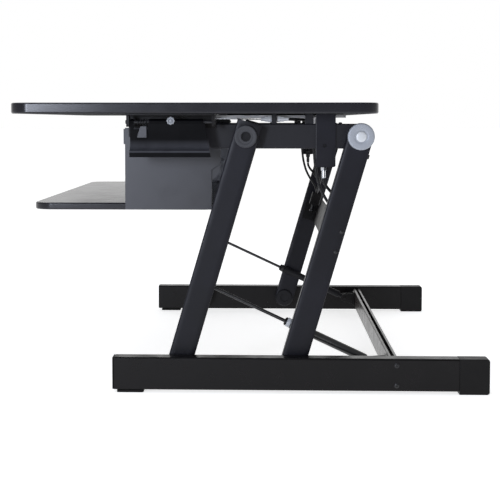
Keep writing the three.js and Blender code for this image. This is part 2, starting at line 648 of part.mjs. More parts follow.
// A squeeze paddle with hinge barrels along its top edge and a window for the return spring.
function releaseHandle() {
  const { x, z, r } = HINGE;
  const web = [x + HANDLE_WEB - 1, x + HANDLE_WEB + HANDLE_SHEET + 1];
  const paddle = frontExtrusion(handleSection(), HANDLE_Y, 4);
  const barrels = HANDLE_BARRELS_Y.map((y) => cylinderY(x, y, z, r + 2.6));
  const slant = sideExtrusion(polygon(HANDLE_SLANT.map(([y, below]) => [y, z + below])), [x - 34, x + 36]);
  const springWindow = box(web, [SPRING.y[0] - 3, SPRING.y[1] + 3], [z - 12, z + 8]);
  const bore = cylinderY(x, [HANDLE_Y[0] - 1, HANDLE_Y[1] + 1], z, r + RUNNING);
  return cut(join(paddle, ...barrels), slant, springWindow, bore);
}

// A torsion spring round the hinge pin, with one leg down the paddle.
function returnSpring() {
  const { r, wire, turns, y } = SPRING;
  const perTurn = 8;
  const steps = turns * perTurn;
  const coil = Array.from({ length: steps + 1 }, (_, i) => {
    const angle = (2 * Math.PI * i) / perTurn;
    return [HINGE.x + r * Math.cos(angle), y[0] + ((y[1] - y[0]) * i) / steps, HINGE.z + r * Math.sin(angle)];
  });
  const leg = [[HINGE.x + r + 2.6, y[1] + 1, HINGE.z - 8], [HINGE.x + r + 3.4, y[1] + 2, HINGE.z - 26]];
  return tube([...coil, ...leg], wire, steps + 6, 6);
}

// Assembly: the pieces made once, then the pieces made for each side

place(group, "rear_crossbar", crossbar(), POWDER_COAT);
place(armFrame(group, REAR_PIVOT_Y), "arm_cross_plate", armCrossPlate(), POWDER_COAT);
place(group, "desktop", desktop(), LAMINATE);
place(group, "keyboard_tray", keyboardTray(), LAMINATE);
place(group, "tie_plate", tiePlate(), ZINC);

function addSide(side, sign) {
  const half = new THREE.Group();
  half.scale.x = sign;
  group.add(half);
  const add = (parent, name, geometry, material) => place(parent, `${name}_${side}`, geometry, material);

  add(half, "base_rail", baseRail(), POWDER_COAT);
  add(half, "front_end_cap", frontEndCap(), PLASTIC);
  add(half, "rear_foot", rearFoot(), PLASTIC);
  add(half, "front_foot_pad", frontFootPad(), RUBBER);
  add(half, "strut_bracket", strutBracket(), POWDER_COAT);
  add(half, "front_base_pivot", basePivot(FRONT_PIVOT_Y), POWDER_COAT);
  add(half, "rear_base_pivot", basePivot(REAR_PIVOT_Y), POWDER_COAT);

  const frontFrame = armFrame(half, FRONT_PIVOT_Y);
  const rearFrame = armFrame(half, REAR_PIVOT_Y);
  add(frontFrame, "front_arm", arm(FRONT_ARM_OVERRUN), POWDER_COAT);
  add(rearFrame, "rear_arm", arm(0), POWDER_COAT);
  add(rearFrame, "latch_housing", latchHousing(), PLASTIC);
  add(rearFrame, "lock_rod", lockRod(), STEEL);
  add(half, "front_top_pivot", frontTopPivot(), POWDER_COAT);
  add(half, "rear_top_pivot", topPivot(REAR_TOP_Y, REAR_CAP), SILVER);

  const strut = strutFrame(half);
  add(strut.frame, "strut_cylinder", strutCylinder(), POWDER_COAT);
  add(strut.frame, "strut_rod", strutRod(strut.length), STEEL);

  add(half, "upper_rail", upperRail(), POWDER_COAT);
  add(half, "cable_bracket", cableBracket(), POWDER_COAT);
  add(half, "cable_adjuster", cableAdjuster(), ZINC);
  add(half, "barrel_adjuster", barrelAdjuster(), ZINC);
  add(half, "release_cable", tube(RELEASE_CABLE_ROUTE, CABLE_R, 30), JACKET);
  add(half, "latch_cable", tube(LATCH_CABLE_ROUTE, CABLE_R, 16), JACKET);
  add(half, "lock_quadrant", lockQuadrant(), ZINC);
  add(half, "keyboard_bracket", keyboardBracket(), POWDER_COAT);

  add(half, "handle_mount", handleMount(), POWDER_COAT);
  add(half, "handle_hinge_pin", hingePin(), ZINC);
  add(half, "release_handle", releaseHandle(), PLASTIC);
  add(half, "return_spring", returnSpring(), STEEL);
}

addSide("right", 1);
addSide("left", -1);

export default group;
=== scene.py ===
"""Looks of a standing desk converter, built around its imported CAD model.

Units are metres, with +X to the user's right, -Y towards the user and +Z up. Right-hand pieces are
built in place, and left-hand ones are their mirror images.
"""
import json
import math

import bmesh
import bpy
from mathutils import Matrix, Vector


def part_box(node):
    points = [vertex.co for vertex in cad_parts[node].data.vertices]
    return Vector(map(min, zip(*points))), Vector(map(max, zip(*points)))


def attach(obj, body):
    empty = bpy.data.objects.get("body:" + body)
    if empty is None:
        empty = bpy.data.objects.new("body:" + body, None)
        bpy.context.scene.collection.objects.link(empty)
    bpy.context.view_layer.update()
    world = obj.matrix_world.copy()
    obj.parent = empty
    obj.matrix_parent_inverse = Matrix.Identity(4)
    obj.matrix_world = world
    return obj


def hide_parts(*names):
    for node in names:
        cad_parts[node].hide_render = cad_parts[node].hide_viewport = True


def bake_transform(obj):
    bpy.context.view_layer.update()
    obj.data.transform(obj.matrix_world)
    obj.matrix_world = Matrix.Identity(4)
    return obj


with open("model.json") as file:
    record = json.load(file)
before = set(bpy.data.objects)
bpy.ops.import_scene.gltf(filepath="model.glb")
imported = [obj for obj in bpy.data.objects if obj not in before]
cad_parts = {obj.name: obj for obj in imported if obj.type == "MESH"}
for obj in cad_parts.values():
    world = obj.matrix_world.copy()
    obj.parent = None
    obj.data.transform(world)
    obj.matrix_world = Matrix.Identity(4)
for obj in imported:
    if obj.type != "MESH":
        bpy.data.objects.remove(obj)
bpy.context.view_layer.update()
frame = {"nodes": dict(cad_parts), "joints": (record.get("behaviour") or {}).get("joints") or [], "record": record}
MM = 0.001
SIDES = (("right", 1), ("left", -1))

# Camera: at the height of the desktop, off to the user's right
CAMERA_AT = (2.461, 0.0278, 0.4527)
CAMERA_YAW = math.radians(-1.92)
CAMERA_PITCH = math.radians(3.73)
CAMERA_LENS = 87.97
CAMERA_SHIFT = (0.05, -0.10)

# The linkage, from the joints
JOINTS = {joint["name"]: joint for joint in frame["joints"]}
REAR_PIVOT = Vector(JOINTS["lift"]["pos_m"])
FRONT_PIVOT = Vector(JOINTS["front_lift"]["pos_m"])
REAR_TOP = Vector(JOINTS["carriage_level"]["pos_m"])
LINK = REAR_TOP - REAR_PIVOT
FRONT_TOP = FRONT_PIVOT + LINK
ARM_LENGTH = LINK.length
ARM_LEAN = math.atan2(LINK.y, LINK.z)
STRUT_ANCHOR = Vector(JOINTS["strut_swing_right"]["pos_m"])
STRUT_UP = -Vector(JOINTS["strut_stroke_right"]["axis"])
STRUT_PIN_ALONG = 144.5 * MM  # up the front arm from its base pivot

# Sizes and places that the boxes of the CAD nodes don't give
GAP = 0.3 * MM  # the small step between faces that meet, or that a small part is set in or out
FLAT_MARGIN = 0.15 * MM  # a narrow flat border that keeps flat faces flat in shading
BOARD_CORNER = 33 * MM  # seen from above
FLOOR_RAIL_BEND = 3.2 * MM
END_CAP_BEND = 4.2 * MM
FOOT_CORNER = 4.5 * MM
PAD_CORNER = 3 * MM
FLOOR_SCREW_Y = 244.6 * MM
FLOOR_SCREW_EDGES = (11 * MM, 10 * MM)  # below the rail's top, and above its bottom
CHANNEL_WALL = 2 * MM
CHANNEL_SLOT = 5.5 * MM
ARM_HALF_WIDTH = 21 * MM
ARM_END_STEPS = 32
ARM_OVERRUN = 25 * MM  # how far a front arm runs on above its top pivot
ARM_RIVETS_ALONG = (208.4 * MM, 243.5 * MM)  # up the rear arm from its base pivot
ARM_RIVETS_BEHIND = 14.5 * MM  # the arm's centre line
ARM_STOP_ALONG = 376 * MM
PIN_R = 6 * MM
WASHER_R = 12 * MM
SOCKET_R = 6.9 * MM  # corner radius of the hexagon socket
LIFT_RAIL_HEIGHT = 42 * MM  # without its tabs
LIFT_RAIL_NOSE = 19 * MM  # how far its front part's bottom is above the rest
LIFT_RAIL_FLARE = (-72 * MM, -67 * MM)  # along Y, where the rail gets deeper
LIFT_RAIL_SCREW_Y = 153.5 * MM
LIFT_RAIL_WALL = 2 * MM
BARREL_TAB = (37.6 * MM, 46 * MM)
LIFT_RAIL_TABS = (  # along Y
    (-190 * MM, -160 * MM), (93.6 * MM, 108 * MM), (120 * MM, 145 * MM), BARREL_TAB,
)
TAB_ROOT = 3 * MM  # how far a tab starts below the rail's top
TAB_CORNER = 1 * MM
THREAD_R = 3 * MM
LATCH_NUT_R = 5.4 * MM
CABLE_FLANGE = (374 * MM, 377 * MM)  # bottom and top of the cable bracket's flange
CABLE_BRACKET_HOLE = (126.7 * MM, 410 * MM)  # Y and Z
KEYBOARD_BRACKET_SHEET = 2.5 * MM
DOUBLER_OUTLINE = ((-84, 348), (-66, 348), (-50.4, 362), (-50.4, 437), (-84, 437))  # Y, Z in mm
DOUBLER_RIVET_Y = -74 * MM
DOUBLER_RIVETS_Z = (362 * MM, 390 * MM, 418 * MM)
HANDLE_FLANGE = 12 * MM  # from a handle's outer side in to its upright web
CLAMP_NUT_Y = -130 * MM
SPRING_ANCHOR_OUTLINE = ((-186, 424), (-180, 443), (-169, 443), (-170, 424))  # Y, Z in mm
CABLE_R = 2.5 * MM
WIRE_R = 0.9 * MM

# Radii of rounded edges; the arms' are elliptical, across the tube's face and along its thickness
RIMS = {
    "desktop": 2.8 * MM, "keyboard_tray": 2.4 * MM, "floor_rail": 0.4 * MM, "end_cap": 1.1 * MM,
    "foot": 1.2 * MM, "pad": 0.9 * MM, "crossbar": 0.2 * MM, "arm": (8 * MM, 1.9 * MM),
    "lift_rail": 1.8 * MM, "tab": 0.8 * MM, "nut": 0.45 * MM, "doubler": 0.4 * MM,
    "painted_edge_highlight": 0.1 * MM, "spring_anchor": 0.3 * MM,
}

# Looks of the boards' underside, and of the release handles' painted sheen: bottom of the pale band
# of painted light, the height that it's palest up to, and its end
UNDERSIDE_ROUGHNESS = 0.98
HANDLE_SHEEN_BAND = (399 * MM, 409 * MM, 421 * MM)

# Studio: a white backdrop on the far side along X, and a dimmer one everywhere else
WORLD_RAMP = {"From Min": -0.9, "From Max": -0.3, "To Min": 1.0, "To Max": 0.32}
FLOOR_HALF = 60.0
FLOOR_GLOW = (0.72, 0.45)  # in view, and behind the camera
FLOOR_FADE = (1.2, 4.0)  # where along X the one turns into the other
LIGHT_TINT = (0.80, 0.86, 1.0)
# Name, place, target, size and watts
LIGHTS = (
    ("key", (3.2, -1.13, 0.76), (0.3, -0.25, 0.42), (0.5, 0.85), 37.5),
    ("top", (0.4, -0.8, 2.6), (0.0, 0.0, 0.3), (2.0, 2.0), 22.0),
)

# Cable routes, as in the CAD model: centre lines on the right-hand side, in millimetres
RELEASE_CABLE_ROUTE = [
    (382, 66.6, 454.5), (380.5, 76, 454.4), (374, 86, 454.2), (367.6, 95, 453),
    (366, 102, 448), (366, 107, 436), (366, 109.5, 420), (366, 110.3, 400),
    (366, 111.5, 382), (366, 114.5, 360), (366, 120.5, 338), (366, 129.5, 320),
    (366.3, 138, 307), (366.8, 142.6, 298), (367.2, 144.2, 288.4),
]
LATCH_CABLE_ROUTE = [
    (388, 125.5, 354.6), (387.6, 126.5, 348), (385.5, 131, 340), (382, 138.5, 331),
    (378.8, 145.5, 320), (377, 149.8, 308), (376.4, 150.5, 297), (376.3, 149.2, 287.6),
]

# Materials

# Sockets of the Mix node, which has several of the same name
FLOAT_A, FLOAT_B, COLOR_A, COLOR_B = 2, 3, 6, 7
FLOAT_RESULT, COLOR_RESULT = 0, 2
# How fine a metal's grain is along X, Y and Z
EVEN_GRAIN = (1.0, 1.0, 1.0)
ROD_GRAIN = (1.0, 0.25, 0.25)


class Nodes:
    """A short way to build a Principled material."""

    def __init__(self, name):
        self.material = bpy.data.materials.new(name)
        self.material.use_nodes = True
        self.tree = self.material.node_tree
        self.shader = self.tree.nodes["Principled BSDF"]
        self.coords = self.tree.nodes.new("ShaderNodeTexCoord").outputs["Object"]

    def add(self, kind, inputs=(), **settings):
        node = self.tree.nodes.new(kind)
        for key, value in settings.items():
            setattr(node, key, value)
        for key, value in dict(inputs).items():
            self.set(node, key, value)
        return node

    def set(self, node, key, value):
        if isinstance(value, bpy.types.NodeSocket):
            self.tree.links.new(value, node.inputs[key])
        else:
            node.inputs[key].default_value = value

    def noise(self, scale, detail, stretch=None):
        coords = self.coords
        if stretch:
            mapping = self.add("ShaderNodeMapping", {"Vector": coords, "Scale": stretch})
            coords = mapping.outputs["Vector"]
        inputs = {"Vector": coords, "Scale": scale, "Detail": detail}
        return self.add("ShaderNodeTexNoise", inputs).outputs["Fac"]

    def spread(self, value, low, high, source=(0.3, 0.7)):
        """The value, with the source range stretched to run from low to high."""
        ranges = {"From Min": source[0], "From Max": source[1], "To Min": low, "To Max": high}
        return self.add("ShaderNodeMapRange", {"Value": value, **ranges}).outputs["Result"]

    def blend(self, factor, first, second):
        """Between two colours, each a socket or an (R, G, B)."""
        node = self.add("ShaderNodeMix", {"Factor": factor}, data_type="RGBA")
        for key, color in ((COLOR_A, first), (COLOR_B, second)):
            is_socket = isinstance(color, bpy.types.NodeSocket)
            self.set(node, key, color if is_socket else (*color, 1.0))
        return node.outputs[COLOR_RESULT]

    def math(self, operation, first, second=0.0):
        return self.add("ShaderNodeMath", {0: first, 1: second}, operation=operation).outputs[0]

    def mix(self, factor, first, second):
        """Between two numbers, each a socket or a plain number."""
        node = self.add("ShaderNodeMix", {"Factor": factor, FLOAT_A: first, FLOAT_B: second})
        return node.outputs[FLOAT_RESULT]

    def bump(self, height, strength, distance):
        inputs = {"Height": height, "Strength": strength, "Distance": distance}
        normal = self.add("ShaderNodeBump", inputs).outputs["Normal"]
        self.tree.links.new(normal, self.shader.inputs["Normal"])

    def finish(self, color, roughness, **fixed):
        self.set(self.shader, "Base Color", color)
        self.set(self.shader, "Roughness", roughness)
        for key, value in fixed.items():
            self.shader.inputs[key.replace("_", " ")].default_value = value
        return self.material


def shade(color, factor):
    return tuple(channel * factor for channel in color)


def mottled(nodes, factor, color, variation):
    """The colour, a little darker or a little lighter by the factor."""
    return nodes.blend(factor, shade(color, 1 - variation), shade(color, 1 + variation))


def coated(name, color, roughness, grain, bump, specular, variation=0.22, metallic=0.0):
    """Paint or plastic: cloudy tone, uneven gloss and a fine skin."""
    nodes = Nodes(name)
    clouds = nodes.noise(9.0, 4.0)
    skin = nodes.noise(grain, 3.0)
    tone = mottled(nodes, nodes.spread(clouds, 0.0, 1.0), color, variation)
    handled = nodes.noise(38.0, 5.0)
    gloss = nodes.spread(handled, roughness - 0.05, roughness + 0.07)
    nodes.bump(skin, bump, 0.0004)
    return nodes.finish(tone, gloss, Specular_IOR_Level=specular, Metallic=metallic)


def laminate():
    """Pebbled black laminate on top, a smoother satin band round the edge, and a dull underside."""
    nodes = Nodes("laminate")
    normal = nodes.add("ShaderNodeNewGeometry").outputs["Normal"]
    upright = nodes.add("ShaderNodeSeparateXYZ", {"Vector": normal}).outputs["Z"]
    face = nodes.spread(nodes.math("ABSOLUTE", upright), 0.0, 1.0, (0.75, 0.95))
    cells = nodes.add("ShaderNodeTexVoronoi", {"Vector": nodes.coords, "Scale": 620.0})
    pebble = cells.outputs["Distance"]
    fleck = nodes.spread(nodes.noise(240.0, 4.0), 0.0, 1.0, (0.52, 0.68))
    clouds = nodes.spread(nodes.noise(5.0, 3.0), 0.0, 1.0)
    dark = nodes.blend(clouds, (0.0085, 0.0085, 0.0105), (0.0125, 0.0125, 0.015))
    top = nodes.blend(fleck, dark, (0.03, 0.03, 0.034))
    band = nodes.blend(clouds, (0.0043, 0.0043, 0.0082), (0.0061, 0.0062, 0.0108))
    band_gloss = nodes.spread(nodes.noise(30.0, 4.0), 0.2, 0.25)
    top_gloss = nodes.spread(nodes.noise(22.0, 4.0), 0.225, 0.255)
    above = nodes.spread(upright, 0.0, 1.0, (-0.9, -0.6))
    gloss = nodes.mix(above, UNDERSIDE_ROUGHNESS, nodes.mix(face, band_gloss, top_gloss))
    nodes.bump(nodes.math("MULTIPLY", pebble, face), 0.06, 0.0004)
    return nodes.finish(nodes.blend(face, band, top), gloss, Specular_IOR_Level=0.42)


def handle_plastic():
    """Black plastic with a painted sheen: paler along the curve above the finger lip, as if lit there."""
    nodes = Nodes("black_handle_sheen")
    height = nodes.add("ShaderNodeSeparateXYZ", {"Vector": nodes.coords}).outputs["Z"]
    bottom, full, end = HANDLE_SHEEN_BAND
    curve = nodes.spread(height, 1.0, 0.0, (full, end))
    below = nodes.spread(height, 0.0, 1.0, (bottom, bottom + 1 * MM))
    clouds = nodes.spread(nodes.noise(40.0, 4.0), 0.75, 1.0)
    # Painted sheen: a pale band of painted light across the curve above the lip, dark up the web
    sheen_band = nodes.math("MULTIPLY", nodes.math("MULTIPLY", curve, below), clouds)
    nodes.bump(nodes.noise(650.0, 3.0), 0.12, 0.0004)
    gloss = nodes.spread(nodes.noise(38.0, 5.0), 0.44, 0.56)
    tone = nodes.blend(sheen_band, (0.0014, 0.0014, 0.0022), (0.046, 0.047, 0.056))
    return nodes.finish(tone, gloss, Specular_IOR_Level=0.07)


def metal(name, color, roughness, stretch, scale, variation=0.12, bump=0.05):
    """Bare or plated metal: patchy tone, and a gloss drawn out along the grain."""
    nodes = Nodes(name)
    grain = nodes.noise(scale, 4.0, stretch)
    patches = nodes.noise(60.0, 3.0)
    tone = mottled(nodes, nodes.spread(patches, 0.0, 1.0), color, variation)
    gloss = nodes.spread(grain, roughness - 0.06, roughness + 0.1)
    nodes.bump(grain, bump, 0.0002)
    return nodes.finish(tone, gloss, Metallic=1.0)


# By slot
MATERIALS = {
    "powder_coat": coated("powder_coat", (0.0030, 0.0024, 0.0029), 0.3, 900.0, 0.07, 0.2),
    "laminate": laminate(),
    "black_plastic": coated("black_plastic", (0.0026, 0.0022, 0.0025), 0.45, 650.0, 0.14, 0.2),
    "foot_rubber": coated("foot_rubber", (0.005, 0.005, 0.005), 0.8, 420.0, 0.3, 0.2),
    "silver": coated("silver", (0.30, 0.32, 0.36), 0.45, 1200.0, 0.14, 0.5, 0.14, 0.3),
    "zinc": metal("zinc", (0.50, 0.50, 0.52), 0.34, EVEN_GRAIN, 260.0),
    "rod_steel": metal("rod_steel", (0.06, 0.06, 0.063), 0.3, ROD_GRAIN, 900.0),
    "cable_jacket": coated("cable_jacket", (0.006, 0.006, 0.007), 0.45, 800.0, 0.12, 0.3),
}
# Other looks within a slot
VARIANTS = {
    "rail_coat": coated("rail_coat", (0.0066, 0.0064, 0.0102), 0.42, 900.0, 0.10, 0.28),
    "arm_coat": coated("arm_coat", (0.0050, 0.0050, 0.0092), 0.4, 700.0, 0.16, 0.22, 0.4),
    "black_handle_sheen": handle_plastic(),
    "plate_coat": coated("plate_coat", (0.003, 0.003, 0.0036), 0.38, 1100.0, 0.05, 0.16),
    "pivot_cap": coated("pivot_cap", (0.037, 0.038, 0.044), 0.42, 800.0, 0.1, 0.3),
    "socket_black": coated("socket_black", (0.006, 0.006, 0.008), 0.5, 800.0, 0.1, 0.2),
    "strut_paint": coated("strut_paint", (0.012, 0.012, 0.013), 0.27, 1500.0, 0.03, 0.8),
    "satin_steel": coated("satin_steel", (0.017, 0.018, 0.026), 0.34, 1100.0, 0.04, 0.62, 0.10),
    "channel_coat": coated("channel_coat", (0.026, 0.021, 0.019), 0.28, 1100.0, 0.05, 0.6, 0.15),
    "pale_silver": coated("pale_silver", (0.57, 0.59, 0.62), 0.38, 1200.0, 0.08, 0.5, 0.08, 0.2),
    "nut_silver": coated("nut_silver", (0.86, 0.88, 0.92), 0.3, 1200.0, 0.06, 0.6, 0.06, 0.1),
    "dull_zinc": coated("dull_zinc", (0.24, 0.25, 0.27), 0.34, 1200.0, 0.08, 0.6, 0.3, 0.5),
    "dark_steel": coated("dark_steel", (0.02, 0.02, 0.023), 0.34, 1200.0, 0.06, 0.5, 0.1, 0.4),
    "bright_steel": metal("bright_steel", (0.72, 0.74, 0.78), 0.24, EVEN_GRAIN, 500.0, 0.06, 0.02),
    "bolt_black": coated("bolt_black", (0.012, 0.012, 0.014), 0.3, 900.0, 0.08, 0.4),
}

# Meshes: outlines and profiles, and functions that each add one closed solid to a bmesh

# For a prism along each axis: where the outline's first and second numbers go, and the axis itself
AXES = {"x": (1, 2, 0), "y": (0, 2, 1), "z": (0, 1, 2)}


def rectangle(a, b):
    return [(a[0], b[0]), (a[1], b[0]), (a[1], b[1]), (a[0], b[1])]


def rounded(points, r, steps):
    """The outline with its corners turned into arcs; r is one radius, or one for each corner."""
    radii = r if isinstance(r, (list, tuple)) else [r] * len(points)
    out = []
    for i, radius in enumerate(radii):
        corner = Vector(points[i])
        before = (Vector(points[i - 1]) - corner).normalized()
        after = (Vector(points[(i + 1) % len(points)]) - corner).normalized()
        if radius <= 0:
            out.append(corner)
            continue
        half = math.acos(max(-1.0, min(1.0, before.dot(after)))) / 2
        centre = corner + (before + after).normalized() * (radius / math.sin(half))
        start = corner + before * (radius / math.tan(half)) - centre
        end = corner + after * (radius / math.tan(half)) - centre
        sweep = math.atan2(start.x * end.y - start.y * end.x, start.dot(end))
        for k in range(steps + 1):
            turn = sweep * k / steps
            cos, sin = math.cos(turn), math.sin(turn)
            spoke = Vector((start.x * cos - start.y * sin, start.x * sin + start.y * cos))
            out.append(centre + spoke)
    return out


def counter_clockwise(points):
    points = [Vector(p) for p in points]
    area = sum(p.x * q.y - q.x * p.y for p, q in zip(points, points[1:] + points[:1]))
    return points if area > 0 else points[::-1]


def inset(points, depth):
    """The outline moved inwards by depth, along the bisector of each corner."""
    out = []
    for i, p in enumerate(points):
        before = (p - points[i - 1]).normalized()
        after = (points[(i + 1) % len(points)] - p).normalized()
        n1, n2 = Vector((-before.y, before.x)), Vector((-after.y, after.x))
        out.append(p + (n1 + n2) * (depth / max(0.3, 1 + n1.dot(n2))))
    return out


def skin(bm, rings, close=True):
    """Faces between rings of vertices, with the first and last rings closed."""
    for low, high in zip(rings, rings[1:]):
        for i in range(len(low)):
            j = (i + 1) % len(low)
            bm.faces.new((low[i], low[j], high[j], high[i]))
    if close:
        bm.faces.new(rings[0][::-1])
        bm.faces.new(rings[-1])


def add_prism(bm, outline, span, axis, rim, steps, matrix=Matrix()):
    """An outline run along an axis, with both rims rounded; rim is a radius or (width, height)."""
    order = AXES[axis]
    outline = counter_clockwise(outline)
    low, high = min(span), max(span)
    width, height = rim if isinstance(rim, tuple) else (rim, rim)
    levels = [(width + FLAT_MARGIN, low)]
    for k in range(steps + 1):
        t = math.pi / 2 * k / steps
        depth = width * (1 - math.sin(t))
        along = height * (1 - math.cos(t))
        levels.append((depth, low + along))
    levels += [(depth, low + high - c) for depth, c in reversed(levels)]
    rings = []
    for depth, c in levels:
        ring = []
        for p in inset(outline, depth):
            at = [0.0, 0.0, 0.0]
            at[order[0]], at[order[1]], at[order[2]] = p.x, p.y, c
            ring.append(bm.verts.new(matrix @ Vector(at)))
        rings.append(ring)
    skin(bm, rings)


def turned(direction):
    """The rotation that carries +Z onto a direction."""
    return Vector((0, 0, 1)).rotation_difference(Vector(direction)).to_matrix().to_4x4()


def add_lathe(bm, profile, at, direction, segments, reach_of=None):
    """A body of revolution, from (along, radius) points that start and end on the axis.

    reach_of(radius, angle) gives the distance from the axis where the body isn't round.
    """
    matrix = Matrix.Translation(at) @ turned(direction)
    rings = []
    for along, r in profile:
        if r <= 0:
            rings.append(bm.verts.new(matrix @ Vector((0, 0, along))))
            continue
        ring = []
        for k in range(segments):
            angle = 2 * math.pi * k / segments
            reach = reach_of(r, angle) if reach_of else r
            spot = Vector((reach * math.cos(angle), reach * math.sin(angle), along))
            ring.append(bm.verts.new(matrix @ spot))
        rings.append(ring)
    for low, high in zip(rings, rings[1:]):
        for k in range(segments):
            j = (k + 1) % segments
            if isinstance(low, bmesh.types.BMVert):
                bm.faces.new((low, high[j], high[k]))
            elif isinstance(high, bmesh.types.BMVert):
                bm.faces.new((low[k], low[j], high))
            else:
                bm.faces.new((low[k], low[j], high[j], high[k]))


def add_ring(bm, profile, at, direction, segments):
    """A ring about a direction, from a closed profile of (along, radius) points."""
    matrix = Matrix.Translation(at) @ turned(direction)
    turns = [2 * math.pi * k / segments for k in range(segments)]
    rings = []
    for along, r in profile:
        spots = [Vector((r * math.cos(t), r * math.sin(t), along)) for t in turns]
        rings.append([bm.verts.new(matrix @ spot) for spot in spots])
    skin(bm, [*rings, rings[0]], close=False)


def smooth_path(points, per_span=6):
    """A Catmull-Rom curve through the points."""
    points = [Vector(p) for p in points]
    ends = [2 * points[0] - points[1], *points, 2 * points[-1] - points[-2]]
    path = []
    for a, b, c, d in zip(ends, ends[1:], ends[2:], ends[3:]):
        for k in range(per_span):
            t = k / per_span
            square = (2 * a - 5 * b + 4 * c - d) * t ** 2
            cube = (3 * b - a - 3 * c + d) * t ** 3
            path.append(0.5 * (2 * b + (c - a) * t + square + cube))
    return [*path, points[-1]]


def add_tube(bm, points, r, sides):
    """A round tube along a smooth curve, slightly narrower at both ends."""
    path = smooth_path(points)
    last = len(path) - 1
    turns = [2 * math.pi * k / sides for k in range(sides)]
    across = (path[1] - path[0]).normalized().orthogonal().normalized()
    rings = []
    for i, p in enumerate(path):
        tangent = (path[min(i + 1, last)] - path[max(i - 1, 0)]).normalized()
        across = (across - tangent * across.dot(tangent)).normalized()
        u, v = across, tangent.cross(across)
        reach = r * (0.8 if i in (0, last) else 1.0)
        rings.append([bm.verts.new(p + (u * math.cos(t) + v * math.sin(t)) * reach) for t in turns])
    skin(bm, rings)


def in_mm(points, start=0.0):
    """Points given in millimetres, with the first coordinate moved on by start metres."""
    return [(start + first * MM, second * MM) for first, second in points]


def hexagon(r):
    """Outline of a hexagon by its corner radius."""
    return [(r * math.cos(math.pi / 3 * k), r * math.sin(math.pi / 3 * k)) for k in range(6)]


def add_nut(bm, at, direction, r, thickness):
    """A chamfered hexagon nut that starts at a point and grows along a direction."""
    matrix = Matrix.Translation(at) @ turned(direction)
    add_prism(bm, hexagon(r), (0, thickness), "z", RIMS["nut"], steps=3, matrix=matrix)


def threads(start, end, r=THREAD_R, pitch=0.8 * MM, depth=0.3 * MM):
    """Profile points of a thread, drawn as rings."""
    count = max(1, round((end - start) / pitch))
    step = (end - start) / count
    points = []
    for k in range(count):
        points += [(start + step * k, r - depth), (start + step * (k + 0.5), r)]
    return [*points, (end, r - depth)]


# Pieces


def piece(name, bm, slot, body, replaces=(), sign=1, material=None, sharp=32):
    """Turns a bmesh into a finished object on its CAD body; sign -1 mirrors it to the left side."""
    if sign < 0:
        bmesh.ops.scale(bm, vec=(-1, 1, 1), verts=bm.verts)
    bmesh.ops.recalc_face_normals(bm, faces=bm.faces)
    mesh = bpy.data.meshes.new(name)
    bm.to_mesh(mesh)
    bm.free()
    mesh.shade_smooth()
    mesh.set_sharp_from_angle(angle=math.radians(sharp))
    mesh.materials.append(VARIANTS[material] if material else MATERIALS[slot])
    obj = bpy.data.objects.new(name, mesh)
    bpy.context.scene.collection.objects.link(obj)
    if body:
        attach(obj, body)
    obj.modifiers.new("normals", "WEIGHTED_NORMAL").keep_sharp = True
    if replaces:
        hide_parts(*replaces)
    return obj


def extent(node):
    """The (low, high) pairs of a node's box along X, Y and Z."""
    low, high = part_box(node)
    return (low.x, high.x), (low.y, high.y), (low.z, high.z)


def arm_matrix(pivot):
    """Z runs up the arm from its base pivot, and Y points behind it."""
    return Matrix.Translation((0, pivot.y, pivot.z)) @ Matrix.Rotation(-ARM_LEAN, 4, "X")


def boards():
    for node in ("desktop", "keyboard_tray"):
        x, y, z = extent(node)
        outline = rounded(rectangle(x, y), BOARD_CORNER, steps=20)
        bm = bmesh.new()
        add_prism(bm, outline, z, "z", RIMS[node], steps=6)
        piece(node + "_board", bm, "laminate", "carriage", [node], sharp=50)


def base(side, sign):
    """A floor rail with its front cap, rear foot, rubber pad and screws."""
    x, y, z = extent("base_rail_right")
    outline = rounded(rectangle(x, z), FLOOR_RAIL_BEND, steps=8)
    bm = bmesh.new()
    add_prism(bm, outline, y, "y", RIMS["floor_rail"], steps=2)
    piece(f"floor_rail_{side}", bm, "powder_coat", "base", [f"base_rail_{side}"], sign)

    cap_y = (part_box("front_end_cap_right")[0].y, y[0] - GAP)
    outline = rounded(rectangle(x, z), END_CAP_BEND, steps=8)
    bm = bmesh.new()
    add_prism(bm, outline, cap_y, "y", RIMS["end_cap"], steps=4)
    piece(f"rail_end_cap_{side}", bm, "black_plastic", "base", [f"front_end_cap_{side}"], sign)

    foot_y = (y[1] + GAP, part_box("rear_foot_right")[1].y)
    outline = rounded(rectangle(foot_y, (0, z[1])), [0, FOOT_CORNER, FOOT_CORNER, 0], steps=8)
    bm = bmesh.new()
    add_prism(bm, outline, x, "x", RIMS["foot"], steps=4)
    piece(f"foot_block_{side}", bm, "black_plastic", "base", [f"rear_foot_{side}"], sign)

    pad_x, pad_y, pad_z = extent("front_foot_pad_right")
    outline = rounded(rectangle(pad_x, pad_y), PAD_CORNER, steps=6)
    bm = bmesh.new()
    add_prism(bm, outline, pad_z, "z", RIMS["pad"], steps=3)
    piece(f"rubber_pad_{side}", bm, "foot_rubber", "base", [f"front_foot_pad_{side}"], sign)
    floor_screws(side, sign)


def floor_screws(side, sign):
    """The two screws that hold the crossbar to a floor rail."""
    x, _, z = extent("base_rail_right")
    head = [
        (-1, 0), (-1, 4.4), (0.5, 4.4), (1.4, 3.6), (1.9, 2.2), (1.9, 1.9), (0.6, 1.7), (0.6, 0),
    ]
    for i, height in enumerate((z[1] - FLOOR_SCREW_EDGES[0], z[0] + FLOOR_SCREW_EDGES[1])):
        bm = bmesh.new()
        add_lathe(bm, in_mm(head), (x[1], FLOOR_SCREW_Y, height), (1, 0, 0), segments=24)
        piece(f"rail_screw_{side}_{i}", bm, "powder_coat", "base", (), sign, "bolt_black")


